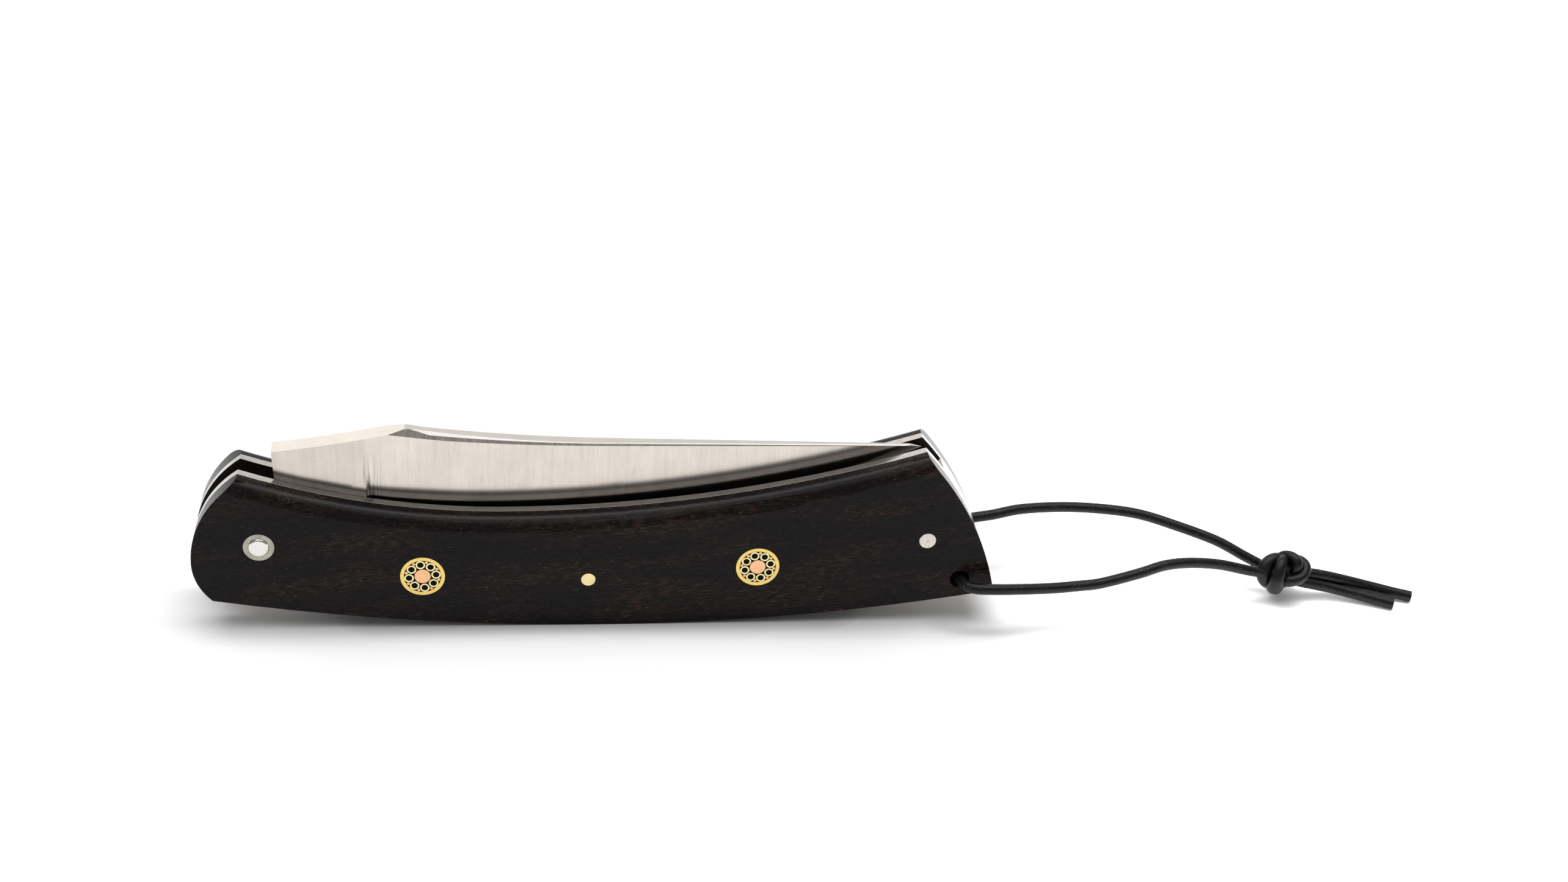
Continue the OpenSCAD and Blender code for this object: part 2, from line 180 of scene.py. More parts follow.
# %% [markdown]
# ## The knot
# The real one is an overhand knot tied in both strands at once. Seen from the front, two turns side by
# side wrap round the left of it, a loop passes over its top, and a last turn closes its right. A rope
# simulation would need the knot to be tied first, so each turn is a tube of its own along a few points
# given one by one, in axes that are easy to judge: across, upright and near, as seen from the
# camera. The result looks like the knot from the front, but it is five tubes round a ball and no cord
# can be followed through it. The cord is pressed there, so a turn has its own thickness at each point.

# %% Tubes
KNOT_AT = Vector((99.2, 0, 3.75))
KNOT_CORE_R, TAIL_R = 1.9, 0.81
TURN_STEPS, TAIL_STEPS = 10, 6


def tube(bm, path, radii, sides=28, closed=False):
    """Adds a round tube along a path to a bmesh, with a radius for each point and flat ends."""
    rings = []
    count = len(path)
    side_way = Vector((0, 0, 1))
    for i, centre in enumerate(path):
        after = path[(i + 1) % count] if closed or i < count - 1 else centre
        before = path[i - 1] if closed or i > 0 else centre
        heading = (after - before).normalized()
        side_way = (side_way - side_way.dot(heading) * heading).normalized()
        other = heading.cross(side_way)
        rings.append([bm.verts.new(centre + radii[i] * (math.cos(a) * side_way + math.sin(a) * other))
                      for a in (2 * math.pi * k / sides for k in range(sides))])
    for low, high in zip(rings, rings[1:]):
        for k in range(sides):
            bm.faces.new((low[k], high[k], high[(k + 1) % sides], low[(k + 1) % sides]))
    if closed:
        # the last ring meets the first with the turn that brings their points together
        low, high = rings[-1], rings[0]
        turn = min(range(sides), key=lambda t: (low[0].co - high[t].co).length)
        for k in range(sides):
            bm.faces.new((low[k], high[(k + turn) % sides], high[(k + 1 + turn) % sides], low[(k + 1) % sides]))
    else:
        for ring in (rings[0], rings[-1]):
            bm.faces.new(ring)


def mesh_piece(name, bm, crease=40):
    """A bmesh as a finished object with outward normals and smooth sides."""
    bmesh.ops.recalc_face_normals(bm, faces=bm.faces)
    mesh = bpy.data.meshes.new(name)
    bm.to_mesh(mesh)
    bm.free()
    mesh.shade_smooth()
    mesh.set_sharp_from_angle(angle=math.radians(crease))
    piece = bpy.data.objects.new(name, mesh)
    bpy.context.collection.objects.link(piece)
    return piece


print("knot at", tuple(KNOT_AT), "mm")

# %% Knot and tails
away = (KNOT_AT * MM - CAMERA_AT).normalized()
across = (right - right.dot(away) * away).normalized()
upright_way = across.cross(away)

# each point: across, upright, near, in mm from the middle of the knot, then the radius there
LEFT_TURN = [(-0.7, 2.15, 0.9, 0.85), (-1.55, 2.0, 1.7, 0.98), (-2.35, 1.45, 2.15, 1.06),
             (-2.85, 0.6, 2.25, 1.12), (-3.0, -0.25, 2.05, 1.1), (-2.8, -1.0, 1.4, 0.98),
             (-2.2, -1.5, 0.2, 0.84), (-1.3, -1.6, -1.2, 0.78), (0.1, -1.1, -2.1, 0.8),
             (0.7, 0.4, -2.4, 0.8), (0.5, 1.6, -1.8, 0.8), (0.0, 2.2, -0.5, 0.8)]
FRONT_TURN = [(-0.15, 2.0, 1.6, 0.8), (-0.45, 1.5, 2.5, 0.88), (-0.65, 0.75, 2.95, 0.92),
              (-0.9, -0.2, 3.05, 0.98), (-1.15, -1.1, 2.75, 1.1), (-1.4, -1.72, 1.9, 1.25),
              (-1.55, -1.85, 0.7, 1.22), (-1.6, -1.8, -0.7, 0.95), (-1.3, -1.5, -2.0, 0.78),
              (-0.1, -0.4, -2.7, 0.78), (0.8, 0.9, -2.4, 0.78), (0.8, 1.9, -1.2, 0.78), (0.4, 2.25, 0.3, 0.78)]
TOP_LOOP = [(-1.5, 1.75, -0.7, 0.76), (-1.15, 2.05, 0.0, 0.76), (-0.6, 2.35, 0.6, 0.77),
            (0.2, 2.55, 1.0, 0.79), (1.05, 2.3, 1.4, 0.82), (1.65, 1.75, 1.65, 0.82), (1.8, 1.1, 1.65, 0.82),
            (1.5, 0.5, 1.4, 0.8), (0.9, 0.15, 0.9, 0.78), (0.1, 0.0, 0.3, 0.76)]
RIGHT_TURN = [(0.3, 1.8, -1.4, 0.76), (1.15, 2.0, -0.7, 0.76), (2.0, 1.9, 0.0, 0.78),
              (2.7, 1.35, 0.5, 0.8), (2.95, 0.6, 0.9, 0.8), (2.7, -0.15, 1.4, 0.8),
              (2.05, -0.75, 1.85, 0.82), (1.1, -1.05, 2.1, 0.82), (0.2, -1.1, 2.0, 0.8),
              (-0.6, -1.2, 1.2, 0.78)]
BACK_TURN = [(0.3, 1.9, -1.2, 0.76), (1.5, 1.6, -1.8, 0.78), (2.3, 0.8, -1.9, 0.78),
             (2.4, -0.2, -1.6, 0.78), (1.9, -0.9, -1.2, 0.78), (0.8, -1.2, -0.8, 0.78), (-0.2, -1.2, 0.2, 0.76)]


def knot_turn(bm, points, steps, closed=False):
    """A tube through points given as across, upright, near and radius."""
    centres = [KNOT_AT + across * a + upright_way * u - away * n for a, u, n, _ in points]
    radii = [Vector((p[3], 0, 0)) for p in points]
    if closed:
        lap = [centres[-1]] + centres + centres[:2]
        thick = [radii[-1]] + radii + radii[:2]
        path, size = smooth_path(lap, steps)[steps:-steps - 1], smooth_path(thick, steps)[steps:-steps - 1]
    else:
        path, size = smooth_path(centres, steps), smooth_path(radii, steps)
    tube(bm, path, [r.x for r in size], closed=closed)


UPPER_TAIL = [(101.6, 0.3, 3.7), (104.5, 0.2, 3.3), (107.8, 0, 2.6), (112.3, -0.5, 1.6), (115.5, -1.3, 1.1),
              (118.1, -2.1, 0.85)]
LOWER_TAIL = [(99.6, -0.4, 3.2), (101.6, -0.7, 2.75), (104, -0.75, 2.2), (106.6, -1.0, 1.7), (110.8, -2.3, 1.15),
              (114.8, -4.0, 0.86)]
knot_mesh = bmesh.new()
for route in (UPPER_TAIL, LOWER_TAIL):
    tail_path = smooth_path(route, TAIL_STEPS)
    tube(knot_mesh, tail_path, [TAIL_R * MM] * len(tail_path))
knot_turn(knot_mesh, LEFT_TURN, TURN_STEPS, closed=True)
knot_turn(knot_mesh, FRONT_TURN, TURN_STEPS, closed=True)
for turn in (TOP_LOOP, RIGHT_TURN, BACK_TURN):
    knot_turn(knot_mesh, turn, TURN_STEPS)
# a hidden ball takes the place of the cord inside the knot
bmesh.ops.create_icosphere(knot_mesh, subdivisions=3, radius=KNOT_CORE_R * MM,
                           matrix=Matrix.Translation(KNOT_AT * MM))
knot = mesh_piece("lanyard_overhand_knot", knot_mesh)
print("knot faces:", len(knot.data.polygons))

# %% Lanyard bodies
for strand, path, node in ((front_strand, front_path, "lanyard_front_strand"),
                           (rear_strand, rear_path, "lanyard_rear_strand")):
    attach(strand, HANDLE)
    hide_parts(node)
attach(knot, HANDLE)
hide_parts("lanyard_knot", "lanyard_tails")

# %% [markdown]
# ## Ebony
# Ebony, sanded fine, oiled and buffed: nearly black, with short brown pore streaks along the grain,
# which runs a few degrees off the handle's length. Three noises, stretched along the grain, are
# enough: broad brown patches, fine streaks in them, and the open pores, which are also tiny dents.
# The oil gives a soft gloss, so the mirror part of the shader is kept low.

# %% Oiled ebony
def grain(tree, scale, turn=0.0):
    """Object coordinates in mm times scale, turned about y by turn degrees: a pattern along a grain."""
    place = add(tree, "ShaderNodeTexCoord")
    turned = add(tree, "ShaderNodeVectorRotate", {"Vector": place.outputs["Object"], "Angle": math.radians(turn)},
                 rotation_type="Y_AXIS")
    return add(tree, "ShaderNodeMapping", {"Vector": turned.outputs["Vector"],
                                           "Scale": [v / MM for v in scale]}).outputs["Vector"]


def noise(tree, where, detail=3.0, rough=0.55):
    return add(tree, "ShaderNodeTexNoise", {"Vector": where, "Scale": 1.0, "Detail": detail,
                                            "Roughness": rough}).outputs["Fac"]


def between(tree, value, low, high, start=0.0, end=1.0):
    """Maps low..high of a value to start..end, clamped."""
    return add(tree, "ShaderNodeMapRange", {"Value": value, "From Min": low, "From Max": high,
                                            "To Min": start, "To Max": end}).outputs["Result"]


def times(tree, a, b):
    return add(tree, "ShaderNodeMath", {0: a, 1: b}, operation="MULTIPLY").outputs["Value"]


def blend(tree, factor, first, second):
    """A colour between two, each a hex code or a node's output."""
    pick = [linear(c) if isinstance(c, str) else c for c in (first, second)]
    return add(tree, "ShaderNodeMix", {"Factor": factor, 6: pick[0], 7: pick[1]}, data_type="RGBA").outputs[2]


def oiled_ebony():
    material, tree, out = new_material("oiled_ebony")
    patches = noise(tree, grain(tree, (0.05, 0.22, 0.22), 7), 3.0, 0.65)
    streaks = noise(tree, grain(tree, (0.7, 4.0, 4.0), 7), 4.0, 0.65)
    pores = noise(tree, grain(tree, (1.5, 8.0, 8.0), 7), 2.0, 0.5)
    fibres = noise(tree, grain(tree, (2.5, 14.0, 14.0), 7), 2.0, 0.6)
    brown = times(tree, between(tree, patches, 0.45, 0.7), between(tree, streaks, 0.45, 0.75))
    wood = blend(tree, between(tree, streaks, 0.35, 0.75), "#0e0c0d", "#1f1a19")
    wood = blend(tree, brown, wood, "#4a342c")
    pore = times(tree, between(tree, pores, 0.67, 0.76), between(tree, patches, 0.38, 0.6, 0.25, 1.0))
    wood = blend(tree, pore, wood, "#75625a")
    dent = add(tree, "ShaderNodeBump", {"Strength": 0.5, "Distance": 0.012 * MM, "Height": fibres})
    dent = add(tree, "ShaderNodeBump", {"Strength": 0.6, "Distance": 0.03 * MM, "Height": pore,
                                        "Normal": dent.outputs["Normal"]}, invert=True)
    shader = add(tree, "ShaderNodeBsdfPrincipled", {"Base Color": wood, "Specular IOR Level": 0.11,
                                                    "Roughness": between(tree, streaks, 0.3, 0.7, 0.17, 0.3),
                                                    "Normal": dent.outputs["Normal"]})
    tree.links.new(shader.outputs["BSDF"], out.inputs["Surface"])
    return material


ebony = oiled_ebony()
print("made", ebony.name)

# %% [markdown]
# ## Metals
# Every metal here has been rubbed with grit, and what the eye sees is the direction of the marks: a
# reflection stays sharp along them and smears across them. So the shader itself is nearly polished,
# and a noise stretched along the marks tilts its normal. Real marks of 0.02 mm are too fine to show,
# so they are drawn three to five times as coarse. Darker marks and faint clouds are added in colour.

# %% Rubbed metals
def rubbed_metal(name, code, marks, roughness=0.12, tilt=0.5, dark=0.1, clouds=0.06, pits=0.0, mask=None):
    """Marks is how many fine marks there are per mm along x, y and z; dark is how much they darken."""
    material, tree, out = new_material(name)
    fine = noise(tree, grain(tree, marks), 2.0, 0.6)
    broad = noise(tree, grain(tree, [m * 0.22 for m in marks]), 2.0, 0.6)
    cloud = noise(tree, grain(tree, (0.22, 0.22, 0.22)), 3.0, 0.6)
    shade = times(tree, between(tree, fine, 0.3, 0.65, 1 - dark, 1.0), between(tree, broad, 0.3, 0.6, 1 - dark, 1.0))
    shade = times(tree, shade, between(tree, cloud, 0.35, 0.65, 1 - clouds, 1.0))
    if pits:
        spots = noise(tree, grain(tree, (3.2, 3.2, 3.2)), 1.0, 0.5)
        shade = times(tree, shade, between(tree, spots, 0.74, 0.79, 1.0, 1 - pits))
    if mask:
        shade = times(tree, shade, mask(tree))
    colour = add(tree, "ShaderNodeMix", {"Factor": 1.0, 6: linear(code), 7: shade}, data_type="RGBA",
                 blend_type="MULTIPLY")
    relief = add(tree, "ShaderNodeBump", {"Strength": tilt, "Distance": 0.01 * MM, "Height": fine})
    shader = add(tree, "ShaderNodeBsdfPrincipled", {"Base Color": colour.outputs[2], "Metallic": 1.0,
                                                    "Roughness": roughness, "Normal": relief.outputs["Normal"]})
    tree.links.new(shader.outputs["BSDF"], out.inputs["Surface"])
    return material


def plunge_scratches(tree):
    """Deep dark scratches in a narrow band beside the plunge, fading upwards; the ricasso is duller."""
    place = add(tree, "ShaderNodeTexCoord")
    axes = add(tree, "ShaderNodeSeparateXYZ", {"Vector": place.outputs["Object"]})
    left = between(tree, axes.outputs["X"], -32.4 * MM, -31.9 * MM)
    right_side = between(tree, axes.outputs["X"], -29.2 * MM, -31.6 * MM)
    fade = between(tree, axes.outputs["Z"], 25.6 * MM, 20.5 * MM)
    lines = between(tree, noise(tree, grain(tree, (5.5, 0.4, 0.12)), 2.0, 0.6), 0.46, 0.62)
    depth = times(tree, times(tree, left, right_side), times(tree, fade, lines))
    dull = between(tree, axes.outputs["X"], -32.4 * MM, -31.6 * MM, 0.88, 1.0)
    return times(tree, between(tree, depth, 0.0, 1.0, 1.0, 0.22), dull)


blade_steel = rubbed_metal("satin_blade_steel", "#e3dad1", (8, 8, 0.3), 0.18, 0.45, 0.07, 0.08, 0.18,
                           plunge_scratches)
swedge_steel = rubbed_metal("ground_swedge_steel", "#f4e9e1", (9, 2, 0.4), 0.16, 0.8, 0.24)
# painted shade: the facet's steel is painted darker than the blade's, which tones down the lamp's bright reflection
# in it
shaded_facet_steel = rubbed_metal("polished_facet_steel_painted_darker", "#bfbcb8", (0.4, 8, 8), 0.22, 0.2, 0.04)
spine_steel = rubbed_metal("spine_steel", "#dcd5cd", (0.35, 9, 9), 0.14, 0.25, 0.04)
liner_steel = rubbed_metal("brushed_liner_steel", "#d2cec9", (0.3, 12, 12), 0.22, 0.45, 0.2)
spring_steel = rubbed_metal("brushed_spring_steel", "#bdb9b3", (0.3, 12, 12), 0.2, 0.3, 0.15)
# painted shade: a nearly black copy of the liner steel, for the liners' flat sides in the dark gap inside the handle
shaded_inside_steel = rubbed_metal("liner_steel_painted_shade", "#393634", (0.3, 6, 6), 0.42, 0.3, 0.15)
pin_steel = rubbed_metal("faced_pin_steel", "#eae6e1", (4, 4, 4), 0.14, 0.15, 0.03)
filed_steel = rubbed_metal("filed_pin_steel", "#e4ddd6", (9, 1, 0.5), 0.14, 0.6, 0.2)
collar_steel = rubbed_metal("filed_collar_steel", "#bbb6aa", (5, 1, 1.2), 0.18, 0.6, 0.22, 0.15)
brass = rubbed_metal("polished_brass", "#f6d57c", (5, 1, 5), 0.16, 0.2, 0.05)
bright_brass = rubbed_metal("bright_brass", "#fff3b4", (5, 1, 5), 0.16, 0.2, 0.05)
pale_brass = rubbed_metal("filed_brass", "#f8e3a9", (6, 1, 3), 0.16, 0.3, 0.06)
copper = rubbed_metal("polished_copper", "#ffc698", (5, 1, 5), 0.18, 0.25, 0.08)
print("made fourteen metals")

# %% [markdown]
# ## Epoxy and leather
# The resin in the mosaic pins is black casting epoxy, sanded flush with the metal: a dark plastic with
# sanding dust in it. The cord is round leather, dyed black and waxed, with a fine creased grain. Grey
# specks painted into its colour are a painted highlight, broken up by that grain.

# %% Black epoxy and leather
def black_epoxy():
    material, tree, out = new_material("black_epoxy")
    dust = noise(tree, grain(tree, (5, 5, 5)), 3.0)
    shader = add(tree, "ShaderNodeBsdfPrincipled", {"Base Color": blend(tree, dust, "#030303", "#12100f"),
                                                    "Roughness": 0.35, "Specular IOR Level": 0.08})
    tree.links.new(shader.outputs["BSDF"], out.inputs["Surface"])
    return material


def waxed_leather():
    material, tree, out = new_material("waxed_black_leather")
    creases = noise(tree, grain(tree, (5.0, 5.0, 5.0)), 4.0, 0.65)
    rubbed = noise(tree, grain(tree, (0.5, 0.5, 0.5)), 2.0)
    # painted highlight: grey specks in the colour, in the creases and in broad patches, stand in for the cord's
    # highlight
    painted_highlight_specks = times(tree, between(tree, creases, 0.55, 0.68), between(tree, rubbed, 0.42, 0.58, 0.25, 1.0))
    tone = blend(tree, painted_highlight_specks, "#050404", "#55514f")
    relief = add(tree, "ShaderNodeBump", {"Strength": 0.8, "Distance": 0.06 * MM, "Height": creases})
    shader = add(tree, "ShaderNodeBsdfPrincipled", {"Base Color": tone, "Specular IOR Level": 0.28,
                                                    "Roughness": between(tree, creases, 0.3, 0.7, 0.4, 0.24),
                                                    "Normal": relief.outputs["Normal"]})
    tree.links.new(shader.outputs["BSDF"], out.inputs["Surface"])
    return material


epoxy, leather = black_epoxy(), waxed_leather()
for piece in (front_strand, rear_strand, knot):
    piece.data.materials.append(leather)
print("made", epoxy.name, "and", leather.name)

# %% [markdown]
# ## Rigid pieces
# A CAD node's mesh is loose flat triangles. A copy of it is joined up, its flat faces are made whole,
# its sharp edges get the tiny round that sanding and buffing leave, and its curves are shaded smooth.

# %% Dress the CAD solids
def slot_of(node):
    """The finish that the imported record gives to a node."""
    return next(part["material_slot"] for part in frame["record"]["subparts"] if part["node"] == node)


def dressed(node, name, material, body, edge=0.0, crease=28):
    """A smooth copy of a CAD node that stands for it. edge is the width of the broken corners in mm."""
    bm = bmesh.new()
    bm.from_mesh(frame["nodes"][node].data)
    bmesh.ops.remove_doubles(bm, verts=bm.verts, dist=JOIN_WITHIN)
    bmesh.ops.dissolve_limit(bm, angle_limit=math.radians(0.1), verts=bm.verts, edges=bm.edges,
                             use_dissolve_boundaries=False)
    mesh = bpy.data.meshes.new(name)
    bm.to_mesh(mesh)
    bm.free()
    if "custom_normal" in mesh.attributes:
        mesh.attributes.remove(mesh.attributes["custom_normal"])
    mesh.materials.clear()
    mesh.materials.append(material)
    mesh.shade_smooth()
    mesh.set_sharp_from_angle(angle=math.radians(crease))
    piece = bpy.data.objects.new(name, mesh)
    bpy.context.collection.objects.link(piece)
    if edge:
        bevel = piece.modifiers.new("broken_edges", "BEVEL")
        bevel.width = edge * MM
        bevel.segments = 2
        bevel.limit_method = "ANGLE"
        bevel.angle_limit = math.radians(crease)
        bevel.use_clamp_overlap = False
        bevel.harden_normals = True
    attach(piece, body)
    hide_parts(node)
    return piece


DRESS = [("front_scale", "ebony_scale_front", ebony, HANDLE, 0.08),
         ("rear_scale", "ebony_scale_rear", ebony, HANDLE, 0.08),
         ("front_liner", "steel_liner_front", liner_steel, HANDLE, 0.02),
         ("rear_liner", "steel_liner_rear", liner_steel, HANDLE, 0.02),
         ("backspring", "steel_backspring", spring_steel, HANDLE, 0.05),
         ("blade", "knife_blade", blade_steel, BLADE, 0.0, 10),
         ("front_collar", "steel_collar_front", collar_steel, HANDLE, 0.05, 40),
         ("rear_collar", "steel_collar_rear", collar_steel, HANDLE, 0.05, 40)]
dress = {row[0]: dressed(*row) for row in DRESS}
for piece in dress.values():
    print(piece.name, len(piece.data.polygons), "faces")

# %% [markdown]
# ## Grinding zones of the blade
# The flats of the blade are rubbed up and down, the swedge is left coarse from the belt, the narrow
# facet above it is polished, and the spine is rubbed lengthwise. The facet's steel is also painted
# darker, a painted shade that tones down the lamp's reflection in it. Each zone is a ground plane, so a
# face's own direction tells which zone it is in, and no seam has to be drawn.

# %% Blade zones
SPINE_SIDE = 0.35                  # a face that looks less to the side than this is the spine
SWEDGE_LIFT, FACET_LIFT, TOP_LIFT = 0.55, 0.74, 0.9
GRIND_END = 40 * MM                # the swedge and the facet run out before this x
blade = dress["blade"].data
for zone in (swedge_steel, shaded_facet_steel, spine_steel):
    blade.materials.append(zone)
counts = [0, 0, 0, 0]
for face in blade.polygons:
    side, lift = abs(face.normal.y), face.normal.z
    before_end = face.center.x < GRIND_END
    if side < SPINE_SIDE:
        face.material_index = 3
    elif SWEDGE_LIFT < lift < FACET_LIFT and before_end:
        face.material_index = 1
    elif FACET_LIFT <= lift < TOP_LIFT and before_end:
        face.material_index = 2
    counts[face.material_index] += 1
print("faces in each zone:", counts)

# painted shade: the liners' flat sides, in the dark gap inside the handle, get a much darker steel that stands in
# for the shade there
FLAT_SIDE = 0.9
for node in ("front_liner", "rear_liner"):
    liner = dress[node].data
    liner.materials.append(shaded_inside_steel)
    for face in liner.polygons:
        face.material_index = int(abs(face.normal.y) > FLAT_SIDE)

# %% [markdown]
# ## Turned pins
# The pivot and the two plain pins are rods that are hammered, then filed level with the wood. Each is
# a small profile of radius and height swept once round, like work on a lathe: the pivot keeps a
# chamfered head, and the rear pin has the pip that the lathe's centre left.

# %% Turned pins
def turned(name, node, half_profile, material, steps=72):
    """half_profile: radius and distance from the outer end, in mm, from the middle of the head outwards."""
    low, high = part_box(node)
    middle = (Vector(low) + Vector(high)) / 2
    half = (high[1] - low[1]) / 2
    ring_rows = [(r * MM, -half + d * MM) for r, d in half_profile]
    ring_rows += [(r, -y) for r, y in reversed(ring_rows)]
    bm = bmesh.new()
    rows = []
    for radius, y in ring_rows:
        turns = [2 * math.pi * k / steps for k in range(steps)] if radius else [0.0]
        rows.append([bm.verts.new(middle + Vector((radius * math.cos(a), y, radius * math.sin(a)))) for a in turns])
    for one, two in zip(rows, rows[1:]):
        for k in range(steps):
            corners = [one[k % len(one)], one[(k + 1) % len(one)], two[(k + 1) % len(two)], two[k % len(two)]]
            bm.faces.new(list(dict.fromkeys(corners)))
    piece = mesh_piece(name, bm, 30)
    piece.data.materials.append(material)
    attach(piece, HANDLE)
    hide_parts(node)
    slot_of(node)
    print(name, "reaches", round(half / MM, 2), "mm each way")
    return piece


turned("steel_pivot_pin", "pivot_pin", [(0, 0), (1.12, 0), (1.19, 0.02), (1.35, 0.18), (1.375, 0.24)], pin_steel)
turned("brass_spring_pin", "spring_pin", [(0, 0), (0.96, 0), (1.0, 0.04)], pale_brass)
turned("steel_rear_pin", "rear_pin", [(0, 0.2), (0.12, 0), (1.15, 0), (1.2, 0.05)], filed_steel)

# %% [markdown]
# ## Mosaic pins
# A mosaic pin is bought as a rod: a brass tube packed with smaller tubes and wires, with black resin
# between them. Everything in it repeats round a circle, so Geometry Nodes make it from a few named
# sizes. A mesh of four single points says where a pin goes, and its attribute "turn" says how far it
# is turned about its own axis, because no two pins are set alike.

# %% The four places
def pin_places():
    """Two places on each side of the handle, half a pin's length inside the scale's face."""
    mesh = bpy.data.meshes.new("pin_places")
    points = [(x * MM, side * PIN_MIDDLE * MM, z * MM) for x, z, turn in MOSAICS for side in (-1, 1)]
    mesh.from_pydata(points, [], [])
    turns = mesh.attributes.new("turn", "FLOAT", "POINT")
    for k, value in enumerate([t for x, z, t in MOSAICS for side in (-1, 1)]):
        turns.data[k].value = math.radians(value)
    return mesh


MOSAICS = [(-24.5, 8.2, 8.3), (21.15, 9.2, 15.7)]
PIN_LENGTH = 4.0
PIN_MIDDLE = 3.45


# %% [markdown]
# One tree makes a ring of tubes and one a ring of rods. Both put a part in the middle, copies of a
# smaller part on an orbit round it, and the lot at each of the four places. A tube is a circle with a
# thin rectangle drawn along it, and a rod is a cylinder with a fine chamfer, left by its filing.

# %% Ring of parts, as nodes
def ring_tree(name, make_middle, make_small):
    """Tree with named inputs; the two functions add a part to it and give back its geometry socket."""
    tree = bpy.data.node_groups.new(name, "GeometryNodeTree")
    sizes = ("Middle radius", "Middle wall", "Small radius", "Small wall", "Length", "Orbit", "Start angle")
    sockets = ([("Places", "Geometry")] + [(label, "Float") for label in sizes]
               + [("Count", "Int"), ("Middle material", "Material"), ("Small material", "Material")])
    for label, kind in sockets:
        tree.interface.new_socket(name=label, in_out="INPUT", socket_type="NodeSocket" + kind)
    tree.interface.new_socket(name="Geometry", in_out="OUTPUT", socket_type="NodeSocketGeometry")
    given = add(tree, "NodeGroupInput").outputs
    parts = []
    for which, make in (("Middle", make_middle), ("Small", make_small)):
        shape = make(tree, given[which + " radius"], given[which + " wall"], given["Length"])
        parts.append(add(tree, "GeometryNodeSetMaterial", {"Geometry": shape,
                                                           "Material": given[which + " material"]}).outputs[0])
    middle, small = parts
    number = add(tree, "GeometryNodeInputIndex").outputs["Index"]
    step = add(tree, "ShaderNodeMath", {0: 2 * math.pi, 1: given["Count"]}, operation="DIVIDE")
    angle = add(tree, "ShaderNodeMath", {0: number, 1: step.outputs[0], 2: given["Start angle"]},
                operation="MULTIPLY_ADD")
    ray = [add(tree, "ShaderNodeMath", {0: angle.outputs[0]}, operation=word).outputs[0]
           for word in ("COSINE", "SINE")]
    there = [times(tree, part, given["Orbit"]) for part in ray]
    spot = add(tree, "ShaderNodeCombineXYZ", {"X": there[0], "Y": there[1]})
    orbit = add(tree, "GeometryNodePoints", {"Count": given["Count"], "Position": spot.outputs["Vector"]})
    around = add(tree, "GeometryNodeInstanceOnPoints", {"Points": orbit.outputs[0], "Instance": small})
    pin = add(tree, "GeometryNodeJoinGeometry")
    for part in (around.outputs[0], middle):
        tree.links.new(part, pin.inputs[0])
    turn = add(tree, "GeometryNodeInputNamedAttribute", {"Name": "turn"}, data_type="FLOAT")
    back = add(tree, "ShaderNodeMath", {0: turn.outputs[0], 1: -1.0}, operation="MULTIPLY")
    lie = add(tree, "ShaderNodeCombineXYZ", {"X": math.pi / 2, "Y": back.outputs[0]})
    pins = add(tree, "GeometryNodeInstanceOnPoints", {"Points": given["Places"], "Instance": pin.outputs[0],
                                                      "Rotation": lie.outputs["Vector"]})
    solid = add(tree, "GeometryNodeRealizeInstances", {0: pins.outputs[0]})
    result = add(tree, "NodeGroupOutput")
    tree.links.new(solid.outputs[0], result.inputs[0])
    return tree


def tube_part(tree, radius, wall, length):
    half_wall = add(tree, "ShaderNodeMath", {0: wall, 1: -0.5, 2: radius}, operation="MULTIPLY_ADD")
    circle = add(tree, "GeometryNodeCurvePrimitiveCircle", {"Resolution": 72, "Radius": half_wall.outputs[0]})
    slip = add(tree, "GeometryNodeCurvePrimitiveQuadrilateral", {"Width": wall, "Height": length})
    return add(tree, "GeometryNodeCurveToMesh", {0: circle.outputs[0], 1: slip.outputs[0]}).outputs[0]


def rod_part(tree, radius, wall, length):
    """A cylinder between two low cones: its end face is smaller than the rod by the wall, the chamfer."""
    tip = add(tree, "ShaderNodeMath", {0: radius, 1: wall}, operation="SUBTRACT")
    short = add(tree, "ShaderNodeMath", {0: wall, 1: -2.0, 2: length}, operation="MULTIPLY_ADD")
    body = add(tree, "GeometryNodeMeshCylinder", {"Vertices": 48, "Radius": radius, "Depth": short.outputs[0]})
    ends = [add(tree, "GeometryNodeMeshCone", {"Vertices": 48, "Radius Bottom": radius, "Radius Top": tip.outputs[0],
                                               "Depth": wall}) for side in (0, 1)]
    both = add(tree, "GeometryNodeJoinGeometry")
    half = add(tree, "ShaderNodeMath", {0: short.outputs[0], 1: 0.5}, operation="MULTIPLY")
    for end, sign in zip(ends, (1.0, -1.0)):
        lift = add(tree, "ShaderNodeCombineXYZ", {"Z": times(tree, half.outputs[0], sign)})
        turned_end = add(tree, "GeometryNodeTransform", {"Geometry": end.outputs[0], "Translation": lift.outputs[0],
                                                         "Rotation": (0.0 if sign > 0 else math.pi, 0.0, 0.0)})
        tree.links.new(turned_end.outputs[0], both.inputs[0])
    tree.links.new(body.outputs[0], both.inputs[0])
    return both.outputs[0]


tube_tree = ring_tree("ring_of_tubes", tube_part, tube_part)
rod_tree = ring_tree("ring_of_rods", rod_part, rod_part)
print("trees of", len(tube_tree.nodes), "and", len(rod_tree.nodes), "nodes")


